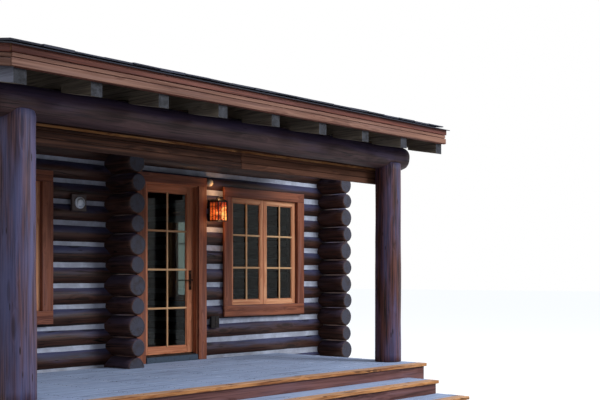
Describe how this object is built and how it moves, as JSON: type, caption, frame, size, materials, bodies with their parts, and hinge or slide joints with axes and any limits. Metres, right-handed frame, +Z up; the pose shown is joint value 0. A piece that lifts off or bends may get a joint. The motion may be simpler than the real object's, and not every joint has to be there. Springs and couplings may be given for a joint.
{
  "type": "log cabin",
  "caption": "Log cabin with saddle-notched corners, mortared log walls, a glazed door that swings into the room, double windows and a covered front porch with round posts and steps.",
  "frame": {"origin": "middle of the whole footprint, at ground level", "axes": "+Z up, +Y from the porch steps to the back wall, +X to the right seen from the front"},
  "size_m": [8.98, 9.528, 4.5757],
  "materials": {
    "logs": "oiled, dark",
    "posts": "weathered",
    "roof_timber": "weathered",
    "trim": "stained",
    "sash": "stained, light",
    "deck": "weathered",
    "floor": "plain boards",
    "shingles": "mineral felt",
    "footing": "masonry",
    "glass": "clear",
    "amber_glass": "seeded amber",
    "dark_metal": "satin black",
    "fitting_box": "matt",
    "fitting_white": "satin"
  },
  "bodies": {
    "cabin": {"back_wall": "logs", "cabin_floor": "floor", "door_casing": "trim", "door_frame": "trim", "door_threshold": "deck", "eave_blocking": "roof_timber", "eave_fascias": "trim", "foundation": "footing", "front_sill_log": "logs", "front_wall_beside_door": "logs", "front_wall_left_of_window": "logs", "front_wall_middle": "logs", "front_wall_right_of_window": "logs", "front_wall_top": "logs", "front_wall_under_windows": "logs", "front_window_casings": "trim", "front_window_frames": "sash", "front_window_glass": "glass", "front_window_sashes": "sash", "header_log": "posts", "lantern_frame": "dark_metal", "lantern_glass": "amber_glass", "left_post": "posts", "left_wall": "logs", "lower_step": "trim", "main_rafters_back": "roof_timber", "main_rafters_front": "roof_timber", "main_roof_boards_back": "roof_timber", "main_roof_boards_front": "roof_timber", "main_shingles_back": "shingles", "main_shingles_front": "shingles", "outlet_box": "dark_metal", "partition_back": "logs", "partition_front": "logs", "partition_over_doorway": "logs", "porch_deck": "deck", "porch_fascia": "trim", "porch_frame": "trim", "porch_rafters": "roof_timber", "porch_roof_boards": "roof_timber", "porch_shingles": "shingles", "ridge_cap": "shingles", "ridge_pole": "logs", "right_post": "posts", "right_wall": "logs", "sawn_board": "trim", "side_and_back_casings": "trim", "side_and_back_glass": "glass", "side_and_back_windows": "sash", "sounder": "fitting_white", "sounder_box": "fitting_box", "upper_step": "trim", "verge_boards": "trim"},
    "door": {"door_leaf": "sash", "door_glass": "glass", "door_handles": "dark_metal"}
  },
  "joints": [
    {"name": "door_hinge", "type": "hinge", "parent": "cabin", "child": "door", "pos_m": [0.4015, -1.435, 1.5], "axis": [0, 0, 1], "range_deg": [0, 95]}
  ]
}
